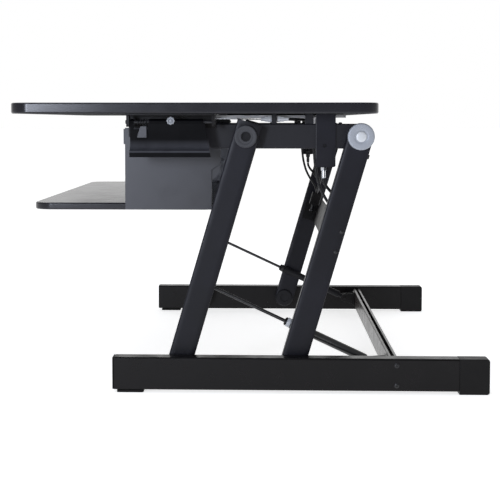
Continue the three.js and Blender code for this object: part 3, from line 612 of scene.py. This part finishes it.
def crossbar():
    """Box channel with a slot between two lips on top."""
    x, y, z = extent("rear_crossbar")
    middle = sum(y) / 2
    lip = (middle - CHANNEL_SLOT / 2, middle + CHANNEL_SLOT / 2)
    inner_y = (y[0] + CHANNEL_WALL, y[1] - CHANNEL_WALL)
    inner_z = (z[0] + CHANNEL_WALL, z[1] - CHANNEL_WALL)
    outline = [
        (y[0], z[0]), (y[1], z[0]), (y[1], z[1]), (lip[1], z[1]),
        (lip[1], inner_z[1]), (inner_y[1], inner_z[1]), (inner_y[1], inner_z[0]),
        (inner_y[0], inner_z[0]), (inner_y[0], inner_z[1]), (lip[0], inner_z[1]),
        (lip[0], z[1]), (y[0], z[1]),
    ]
    out, edge, bend = 2.2 * MM, 0.6 * MM, 0.5 * MM
    radii = [out, out, out, edge, edge, bend, bend, bend, bend, edge, edge, out]
    bm = bmesh.new()
    add_prism(bm, rounded(outline, radii, steps=5), x, "x", RIMS["crossbar"], steps=2)
    piece("slotted_crossbar", bm, "powder_coat", "base", ["rear_crossbar"], 1, "channel_coat")


def arms(side, sign):
    """Box tubes with a round bottom end; a front arm's top is square, and a rear arm's is round."""
    half = ARM_HALF_WIDTH
    top = ARM_LENGTH + ARM_OVERRUN
    x = extent("front_arm_right")[0]
    half_turn = [math.pi * k / ARM_END_STEPS for k in range(ARM_END_STEPS + 1)]
    bottom = [(-half * math.cos(t), -half * math.sin(t)) for t in half_turn]
    square = [(half, top), (-half, top)]
    crown = [(half * math.cos(t), ARM_LENGTH + half * math.sin(t)) for t in half_turn]
    for name, pivot, end, body in (
        ("front", FRONT_PIVOT, square, "front_arms"),
        ("rear", REAR_PIVOT, crown, "rear_arms"),
    ):
        tube, node = f"{name}_arm_tube_{side}", f"{name}_arm_{side}"
        bm = bmesh.new()
        add_prism(bm, [*bottom, *end], x, "x", RIMS["arm"], steps=5, matrix=arm_matrix(pivot))
        piece(tube, bm, "powder_coat", body, [node], sign, "arm_coat", sharp=40)
    arm_fittings(side, sign)


def arm_fittings(side, sign):
    """On a rear arm: the cross plate's rivets, and the plastic stop behind its top."""
    x = extent("front_arm_right")[0]
    head = [(0, 0), (0, 3.6), (0.9, 3.4), (1.7, 2.4), (2.0, 1.0), (2.0, 0)]
    for i, along in enumerate(ARM_RIVETS_ALONG):
        at = arm_matrix(REAR_PIVOT) @ Vector((x[1] - GAP, ARM_RIVETS_BEHIND, along))
        bm = bmesh.new()
        add_lathe(bm, in_mm(head), at, (1, 0, 0), segments=24)
        piece(f"arm_rivet_{side}_{i}", bm, "powder_coat", "rear_arms", (), sign, "bolt_black")

    at = arm_matrix(REAR_PIVOT) @ Vector((sum(x) / 2, ARM_HALF_WIDTH - 0.4 * MM, ARM_STOP_ALONG))
    stop = [(-4, 0), (-4, 2.4), (-3, 3.4), (3, 3.4), (4, 2.4), (4, 0)]
    bm = bmesh.new()
    add_lathe(bm, in_mm(stop), at, LINK, segments=24)
    piece(f"arm_stop_{side}", bm, "black_plastic", "rear_arms", (), sign)


def base_pivots(side, sign):
    """The round cap on the inner end of each base pin, with the pin, its washer and nut."""
    arm_x = extent("front_arm_right")[0]
    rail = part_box("base_rail_right")[0].x
    face = arm_x[0] - GAP
    washer = (arm_x[1] + GAP, rail - GAP)
    cap = [
        (-3.2, 0), (-3.2, 8), (-3.6, 8.8), (-4.4, 9.6), (-4.4, 16), (-4.0, 17.6), (-3.0, 18.6),
        (-1.8, 19), (0, 19),
    ]
    profile = [
        *in_mm(cap, face), (face, PIN_R), (washer[0], PIN_R), (washer[0], WASHER_R),
        (washer[1], WASHER_R), (washer[1], PIN_R), (rail + 4 * MM, PIN_R), (rail + 4 * MM, 0),
    ]
    for name, pivot in (("front", FRONT_PIVOT), ("rear", REAR_PIVOT)):
        node = f"{name}_base_pivot_{side}"
        bm = bmesh.new()
        add_lathe(bm, profile, (0, pivot.y, pivot.z), (1, 0, 0), segments=72)
        piece(f"{name}_base_pin_{side}", bm, "powder_coat", "base", [node], sign, "socket_black")


def pivot_shaft():
    """The arm's outer face, and the profile of a top pivot from its inner nut out to that face."""
    rail = extent("upper_rail_right")[0]
    arm = extent("front_arm_right")[0]
    nut = (rail[0] - 5 * MM, rail[0] - GAP)
    washer = (rail[1] + GAP, arm[0] - GAP)
    face = arm[1] + GAP
    return face, [
        (nut[0], 0), (nut[0], 9 * MM), (nut[0] + 1 * MM, 10 * MM), (nut[1], 10 * MM),
        (nut[1], PIN_R), (washer[0], PIN_R), (washer[0], WASHER_R), (washer[1], WASHER_R),
        (washer[1], PIN_R), (face, PIN_R),
    ]


def hexagon_reach(r, angle):
    """Distance to the socket's flat side at an angle; other radii stay round."""
    if r != SOCKET_R:
        return r
    sector = math.pi / 3
    return r * math.cos(sector / 2) / math.cos((angle % sector) - sector / 2)


def front_top_pivot(side, sign):
    """A dark cap with a hexagon socket."""
    face, shaft = pivot_shaft()
    at = (0, FRONT_TOP.y, FRONT_TOP.z)
    node = f"front_top_pivot_{side}"
    cap = [
        (0, 19), (4.6, 19), (5.6, 18.7), (6.3, 18), (6.5, 16.9), (6.2, 13.4), (6.0, 12.6),
        (5.6, 12.2), (5.6, 8.4), (2.0, 8.2), (2.0, 0),
    ]
    bm = bmesh.new()
    add_lathe(bm, [*shaft, *in_mm(cap, face)], at, (1, 0, 0), segments=96)
    piece(f"front_cap_{side}", bm, "powder_coat", "front_arms", [node], sign, "pivot_cap")

    well = [
        *in_mm([(2.2, 0), (2.2, 8), (5.4, 8), (5.7, 7.8)], face),
        (face + 5.7 * MM, SOCKET_R), (face + 3 * MM, SOCKET_R), (face + 2.8 * MM, 0),
    ]
    bm = bmesh.new()
    add_lathe(bm, well, at, (1, 0, 0), segments=96, reach_of=hexagon_reach)
    piece(f"front_cap_screw_{side}", bm, "powder_coat", "front_arms", (), sign, "socket_black")


def rear_top_pivot(side, sign):
    """A silver disc with a raised boss."""
    face, shaft = pivot_shaft()
    at = (0, REAR_TOP.y, REAR_TOP.z)
    disc = [
        (0, 22.5), (5.0, 22.5), (6.2, 22.1), (6.9, 21.2), (7.2, 19.8), (7.2, 13.0), (6.6, 12.0),
        (6.2, 10.0), (6.2, 0),
    ]
    bm = bmesh.new()
    add_lathe(bm, [*shaft, *in_mm(disc, face)], at, (1, 0, 0), segments=96)
    piece(f"rear_disc_{side}", bm, "silver", "rear_arms", [f"rear_top_pivot_{side}"], sign)

    boss = [(6.4, 0), (6.4, 9.0), (7.2, 9.0), (8.0, 8.5), (8.6, 7.3), (8.9, 5.2), (8.9, 0)]
    bm = bmesh.new()
    add_lathe(bm, in_mm(boss, face), at, (1, 0, 0), segments=64)
    piece(f"rear_disc_boss_{side}", bm, "silver", "rear_arms", (), sign, "pale_silver")


def strut_cylinder(side, sign):
    """Barrel with its eye, and the collar, ring and wiper where the rod comes out."""
    at, body = STRUT_ANCHOR, f"strut_cylinder_{side}"
    # On the left, the barrel, collar and ring take darker finishes than on the right: painted shade for the far
    # side seen through the linkage
    paint, ring_finish = ("strut_paint", "pale_silver") if sign > 0 else ("socket_black", "bolt_black")
    barrel = [
        (6, 0), (6, 5), (13.6, 5), (14.4, 6.4), (15.8, 7.3), (17, 7.5), (154, 7.5), (155, 7.1),
        (156, 6.9), (156, 0),
    ]
    eye = [(-6.5, 0), (-6.5, 7.4), (-5.9, 8), (5.9, 8), (6.5, 7.4), (6.5, 0)]
    bm = bmesh.new()
    add_lathe(bm, in_mm(barrel), at, STRUT_UP, segments=40)
    add_lathe(bm, in_mm(eye), at, (1, 0, 0), segments=32)
    piece(f"strut_barrel_{side}", bm, "powder_coat", body, [body], sign, paint)

    collar = [
        (149, 0), (149, 7.7), (149.5, 8.2), (154.5, 8.8), (155.6, 8.8), (156.2, 8.2), (156.2, 4),
        (155, 3.3), (155, 0),
    ]
    bm = bmesh.new()
    add_lathe(bm, in_mm(collar), at, STRUT_UP, segments=40)
    piece(f"strut_collar_{side}", bm, "powder_coat", body, (), sign, paint)

    ring = [(156.4, 3.3), (156.4, 7.4), (157.2, 8.1), (162.6, 8.1), (163.4, 7.4), (163.4, 3.3)]
    bm = bmesh.new()
    add_ring(bm, in_mm(ring), at, STRUT_UP, segments=40)
    piece(f"strut_ring_{side}", bm, "silver", body, (), sign, ring_finish)

    wiper = [(163.7, 3.3), (163.7, 6.6), (164.5, 7.3), (166.2, 6.9), (167.2, 5.2), (167.2, 3.3)]
    bm = bmesh.new()
    add_ring(bm, in_mm(wiper), at, STRUT_UP, segments=40)
    piece(f"strut_wiper_{side}", bm, "black_plastic", body, (), sign)


def strut_rod(side, sign):
    """Piston inside the barrel, rod, and the head with its stud beside the front arm."""
    pin = FRONT_PIVOT + LINK.normalized() * STRUT_PIN_ALONG
    length = math.hypot(pin.y - STRUT_ANCHOR.y, pin.z - STRUT_ANCHOR.z)
    piston = [(146, 0), (146, 5.4), (153, 5.4), (153, 3)]
    neck = [(-5, 3), (-5, 0)]
    head = [
        (-5.5, 0), (-5.5, 5.2), (-4.8, 6), (4.8, 6), (5.5, 5.2), (5.5, 4), (12.1, 4), (12.1, 0),
    ]
    bm = bmesh.new()
    add_lathe(bm, [*in_mm(piston), *in_mm(neck, length)], STRUT_ANCHOR, STRUT_UP, segments=32)
    add_lathe(bm, in_mm(head), STRUT_ANCHOR + STRUT_UP * length, (1, 0, 0), segments=32)
    node = f"strut_rod_{side}"
    piece(f"strut_piston_{side}", bm, "rod_steel", node, [node], sign)


def upper_rail(side, sign):
    """The rail between the top pivots, with its tabs up to the desktop and a screw."""
    node = f"upper_rail_{side}"
    x, y, z = extent("upper_rail_right")
    low, high, nose = z[0], z[0] + LIFT_RAIL_HEIGHT, z[0] + LIFT_RAIL_NOSE
    flare = LIFT_RAIL_FLARE
    outline = [
        (y[0], nose), (flare[0], nose), (flare[1], low), (y[1], low), (y[1], high), (y[0], high),
    ]
    corner, rear_end = 2.2 * MM, 20 * MM
    radii = [corner, 4 * MM, 6 * MM, rear_end, rear_end, corner]
    bm = bmesh.new()
    add_prism(bm, rounded(outline, radii, steps=12), x, "x", RIMS["lift_rail"], steps=4)
    inside = (x[0] + LIFT_RAIL_WALL, x[1] - LIFT_RAIL_WALL)
    for tab in LIFT_RAIL_TABS:
        plate = rounded(rectangle(tab, (high - TAB_ROOT, z[1])), TAB_CORNER, steps=3)
        add_prism(bm, plate, inside, "x", RIMS["tab"], steps=3)
    piece(f"lift_rail_{side}", bm, "powder_coat", "carriage", [node], sign, "rail_coat", sharp=40)

    at = (sum(x) / 2, LIFT_RAIL_SCREW_Y, high - 0.2 * MM)
    head = [(0, 0), (0, 3.4), (1.4, 3.2), (2.4, 2.2), (2.7, 0)]
    bm = bmesh.new()
    add_lathe(bm, in_mm(head), at, (0, 0, 1), segments=24)
    piece(f"lift_rail_screw_{side}", bm, "powder_coat", "carriage", (), sign, "bolt_black")


def bracket_doubler(side, sign):
    """A plate on the inner face of the keyboard bracket's rear edge, with three rivets."""
    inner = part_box("keyboard_bracket_right")[1].x - KEYBOARD_BRACKET_SHEET
    outline = rounded(in_mm(DOUBLER_OUTLINE), 2 * MM, steps=4)
    head = [(0, 0), (0, 3.2), (1.0, 2.8), (1.6, 1.4), (1.7, 0)]
    bm = bmesh.new()
    add_prism(bm, outline, (inner - 2.1 * MM, inner - GAP), "x", RIMS["doubler"], steps=2)
    for z in DOUBLER_RIVETS_Z:
        add_lathe(bm, in_mm(head), (inner - 2.2 * MM, DOUBLER_RIVET_Y, z), (-1, 0, 0), segments=20)
    piece(f"bracket_doubler_{side}", bm, "powder_coat", "carriage", (), sign, "satin_steel")


def cable_bracket_details(side, sign):
    """Dark socket screw in the cable bracket's hole, partly painted shade; a painted highlight at its front."""
    x, y, z = extent("cable_bracket_right")
    # The screw is real, and its dark finish also paints the shade inside the hole
    screw = [
        (-2.6, 0), (-2.6, 2.9), (-1.0, 2.9), (-0.6, 2.5), (-0.6, 1.5), (-1.8, 1.4), (-1.8, 0),
    ]
    bm = bmesh.new()
    add_lathe(bm, in_mm(screw), (x[1], *CABLE_BRACKET_HOLE), (1, 0, 0), segments=24)
    piece(f"bracket_screw_{side}", bm, "powder_coat", "carriage", (), sign, "socket_black")

    # A pale strip along the bracket's front edge: a painted highlight where the edge catches light
    strip = rectangle((x[1] - 0.4 * MM, x[1] + GAP), (y[0] - GAP, y[0] + 0.9 * MM))
    bm = bmesh.new()
    add_prism(bm, strip, (z[0] + 14 * MM, z[1] - 1 * MM), "z", RIMS["painted_edge_highlight"], steps=2)
    piece(f"painted_edge_highlight_{side}", bm, "powder_coat", "carriage", (), sign, "satin_steel")


def latch_adjuster(side, sign):
    """The threaded adjuster that stands through the cable bracket's bottom flange."""
    node = f"cable_adjuster_{side}"
    # The left adjuster is black instead of bright steel: painted shade for the far side seen through the linkage
    finish = "bright_steel" if sign > 0 else "bolt_black"
    x, y, z = extent("cable_adjuster_right")
    centre = (sum(x) / 2, sum(y) / 2)
    sleeve = CABLE_FLANGE[0] - 6 * MM
    profile = [
        *in_mm([(0, 0), (0, 2.6), (0.6, 3.2), (5, 3.4)], z[0]), (sleeve, 3.4 * MM),
        *threads(sleeve, z[1] - 0.8 * MM), (z[1], 2.2 * MM), (z[1], 0),
    ]
    bm = bmesh.new()
    add_lathe(bm, profile, (*centre, 0), (0, 0, 1), segments=28)
    add_nut(bm, (*centre, sleeve), (0, 0, 1), LATCH_NUT_R, 5.7 * MM)
    add_nut(bm, (*centre, CABLE_FLANGE[1] + GAP), (0, 0, 1), LATCH_NUT_R, 4.7 * MM)
    piece(f"latch_adjuster_{side}", bm, "zinc", "carriage", [node], sign, finish)


def release_adjuster(side, sign):
    """The threaded barrel under the desktop, with a nut and a lock nut each side of its tab."""
    node = f"barrel_adjuster_{side}"
    x, y, z = extent("barrel_adjuster_right")
    at = Vector((sum(x) / 2, 0, sum(z) / 2))
    thread = threads(y[0] + 0.6 * MM, y[1] - 0.6 * MM)
    profile = [(y[0], 0), (y[0], 2.2 * MM), *thread, (y[1], 2.2 * MM), (y[1], 0)]
    nut, lock_nut = (5.6 * MM, 6 * MM), (4.6 * MM, 5.4 * MM)  # corner radius and thickness
    bm = bmesh.new()
    add_lathe(bm, profile, at, (0, 1, 0), segments=28)
    for start, (r, thickness) in (
        (BARREL_TAB[0] - 6.3 * MM, nut),
        (BARREL_TAB[0] - 12 * MM, lock_nut),
        (BARREL_TAB[1] + GAP, nut),
        (BARREL_TAB[1] + 6.6 * MM, lock_nut),
    ):
        add_nut(bm, at + Vector((0, start, 0)), (0, 1, 0), r, thickness)
    piece(f"release_adjuster_{side}", bm, "zinc", "carriage", [node], sign, "nut_silver")


def cables(side, sign):
    """Jackets that bend from the carriage down to the rear arms, and the bare wire."""
    for name, route in (("release", RELEASE_CABLE_ROUTE), ("latch", LATCH_CABLE_ROUTE)):
        node = f"{name}_cable_{side}"
        points = [Vector(p) * MM for p in route]
        bm = bmesh.new()
        add_tube(bm, points, CABLE_R, sides=16)
        jacket = piece(f"{name}_jacket_{side}", bm, "cable_jacket", None, [node], sign)
        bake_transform(jacket)

    x, y, z = extent("barrel_adjuster_right")
    middle_x, middle_z = sum(x) / 2, sum(z) / 2
    wire = [
        (middle_x, y[0] + 1 * MM, middle_z),
        (middle_x + 1 * MM, -60 * MM, middle_z + 1.2 * MM),
        (middle_x + 2 * MM, -128 * MM, middle_z + 2 * MM),
    ]
    bm = bmesh.new()
    add_tube(bm, wire, WIRE_R, sides=10)
    piece(f"release_wire_{side}", bm, "zinc", "carriage", (), sign, "bright_steel")


def lobed_reach(r, angle):
    """Lobes round a nut's outside; what is nearer the axis stays round."""
    count, height, inner = 8, 0.06, 4 * MM
    return r * (1 + height * math.cos(count * angle)) if r > inner else r


def handle_parts(side, sign):
    """The hinge rod on the carriage, and on the handle a clamp nut and the spring's anchor."""
    body, node = f"release_handle_{side}", f"handle_hinge_pin_{side}"
    x, y, z = extent("handle_hinge_pin_right")
    hinge = Vector((sum(x) / 2, 0, sum(z) / 2))
    head = [(1.4, 0), (1.4, 2.6), (2.1, 3.4), (3.0, 3.4), (3.0, 2.5)]
    end = [(-0.6, 2.5), (0, 1.9), (0, 0)]
    bm = bmesh.new()
    add_lathe(bm, [*in_mm(head, y[0]), *in_mm(end, y[1])], hinge, (0, 1, 0), segments=28)
    piece(f"hinge_rod_{side}", bm, "zinc", "carriage", [node], sign, "dark_steel")

    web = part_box("release_handle_right")[1].x - HANDLE_FLANGE
    at = Vector((web - 3 * MM, CLAMP_NUT_Y, hinge.z + 2 * MM))
    nut = [
        (0, 0), (0, 6.4), (1.2, 6.8), (3.6, 6.6), (4.2, 5.8), (4.2, 4.2), (2.2, 3.6), (2.2, 2.4),
        (5, 2.0), (5, 0),
    ]
    bm = bmesh.new()
    add_lathe(bm, in_mm(nut), at, (1, 0, 0), segments=64, reach_of=lobed_reach)
    piece(f"cable_clamp_nut_{side}", bm, "zinc", body, (), sign, "dull_zinc")

    anchor = rounded(in_mm(SPRING_ANCHOR_OUTLINE), 1.2 * MM, steps=4)
    bm = bmesh.new()
    add_prism(bm, anchor, (web + GAP, web + 1.4 * MM), "x", RIMS["spring_anchor"], steps=2)
    piece(f"spring_anchor_{side}", bm, "zinc", body, (), sign, "satin_steel")


# CAD nodes that keep their mesh, by the start of their names

# Edge rounding in millimetres
CAD_RIMS = {
    "strut_bracket": 0.7, "latch_housing": 1.2, "lock_rod": 0.3, "cable_bracket": 0.6,
    "lock_quadrant": 0.4, "keyboard_bracket": 0.6, "handle_mount": 0.6, "release_handle": 0.8,
    "return_spring": 0, "arm_cross_plate": 0.7, "tie_plate": 0.35,
}
# Where the look isn't that of the node's slot
CAD_FINISHES = {
    "keyboard_bracket": "satin_steel", "arm_cross_plate": "plate_coat", "cable_bracket": "arm_coat",
    "release_handle": "black_handle_sheen", "return_spring": "socket_black",
}


def by_prefix(table, node):
    """The table's value for the first key that the node's name starts with, or None."""
    return next((value for prefix, value in table.items() if node.startswith(prefix)), None)


def soften(obj, rim):
    """Clean faces, small rounded edges and even shading, all by modifiers."""
    obj.modifiers.new("weld", "WELD").merge_threshold = 1e-6
    obj.data.shade_smooth()
    if not rim:
        obj.data.set_sharp_from_angle(angle=math.radians(60))
        return
    flat = obj.modifiers.new("flat", "DECIMATE")
    flat.decimate_type = "DISSOLVE"
    flat.angle_limit = math.radians(0.5)
    bevel = obj.modifiers.new("rim", "BEVEL")
    bevel.width = rim * MM
    bevel.segments = 3
    bevel.limit_method = "ANGLE"
    bevel.angle_limit = math.radians(35)
    obj.modifiers.new("normals", "WEIGHTED_NORMAL").keep_sharp = True


def finish_cad_nodes():
    slots = {row["node"]: row["material_slot"] for row in frame["record"]["subparts"]}
    for node, obj in frame["nodes"].items():
        rim = by_prefix(CAD_RIMS, node)
        if rim is None:
            continue
        variant = by_prefix(CAD_FINISHES, node)
        obj.data.materials.clear()
        obj.data.materials.append(VARIANTS[variant] if variant else MATERIALS[slots[node]])
        soften(obj, rim)


# Studio


def backdrop():
    """The world, which is white on the far side and dimmer elsewhere."""
    world = bpy.data.worlds.new("studio")
    world.use_nodes = True
    tree = world.node_tree
    direction = tree.nodes.new("ShaderNodeTexCoord").outputs["Generated"]
    split = tree.nodes.new("ShaderNodeSeparateXYZ")
    tree.links.new(direction, split.inputs["Vector"])
    ramp = tree.nodes.new("ShaderNodeMapRange")
    ramp.interpolation_type = "SMOOTHSTEP"
    tree.links.new(split.outputs["X"], ramp.inputs["Value"])
    for key, value in WORLD_RAMP.items():
        ramp.inputs[key].default_value = value
    background = tree.nodes["Background"]
    background.inputs["Color"].default_value = (1.0, 1.0, 1.0, 1.0)
    tree.links.new(ramp.outputs["Result"], background.inputs["Strength"])
    bpy.context.scene.world = world


def floor():
    """A pale floor with a glow of its own, so that it stays near white."""
    half = FLOOR_HALF
    corners = [(-half, -half, 0), (half, -half, 0), (half, half, 0), (-half, half, 0)]
    mesh = bpy.data.meshes.new("floor")
    mesh.from_pydata(corners, [], [(0, 1, 2, 3)])
    obj = bpy.data.objects.new("floor", mesh)
    bpy.context.scene.collection.objects.link(obj)
    nodes = Nodes("floor")
    clouds = nodes.spread(nodes.noise(3.0, 2.0), 0.0, 1.0)
    tone = nodes.blend(clouds, (0.78, 0.78, 0.78), (0.82, 0.82, 0.82))
    mesh.materials.append(nodes.finish(tone, 0.9, Specular_IOR_Level=0.1))
    nodes.shader.inputs["Emission Color"].default_value = (1.0, 1.0, 1.0, 1.0)
    across = nodes.add("ShaderNodeSeparateXYZ", {"Vector": nodes.coords}).outputs["X"]
    nodes.set(nodes.shader, "Emission Strength", nodes.spread(across, *FLOOR_GLOW, FLOOR_FADE))


def add_light(name, at, target, size, energy):
    lamp = bpy.data.lights.new(name, "AREA")
    lamp.shape = "RECTANGLE"
    lamp.size, lamp.size_y = size
    lamp.energy = energy
    lamp.color = LIGHT_TINT
    obj = bpy.data.objects.new(name, lamp)
    obj.location = at
    obj.rotation_euler = (Vector(target) - Vector(at)).to_track_quat("-Z", "Y").to_euler()
    bpy.context.scene.collection.objects.link(obj)


def camera():
    data = bpy.data.cameras.new("camera")
    data.lens = CAMERA_LENS
    data.shift_x, data.shift_y = CAMERA_SHIFT
    obj = bpy.data.objects.new("camera", data)
    bpy.context.scene.collection.objects.link(obj)
    obj.location = CAMERA_AT
    level, down = math.cos(CAMERA_PITCH), -math.sin(CAMERA_PITCH)
    gaze = Vector((-level * math.cos(CAMERA_YAW), level * math.sin(CAMERA_YAW), down))
    obj.rotation_euler = gaze.to_track_quat("-Z", "Y").to_euler()
    bpy.context.scene.camera = obj


bpy.context.scene.view_settings.view_transform = "Standard"
camera()
backdrop()
floor()
for light in LIGHTS:
    add_light(*light)
boards()
crossbar()
for side, sign in SIDES:
    base(side, sign)
    arms(side, sign)
    base_pivots(side, sign)
    front_top_pivot(side, sign)
    rear_top_pivot(side, sign)
    strut_cylinder(side, sign)
    strut_rod(side, sign)
    upper_rail(side, sign)
    bracket_doubler(side, sign)
    cable_bracket_details(side, sign)
    latch_adjuster(side, sign)
    release_adjuster(side, sign)
    cables(side, sign)
    handle_parts(side, sign)
finish_cad_nodes()
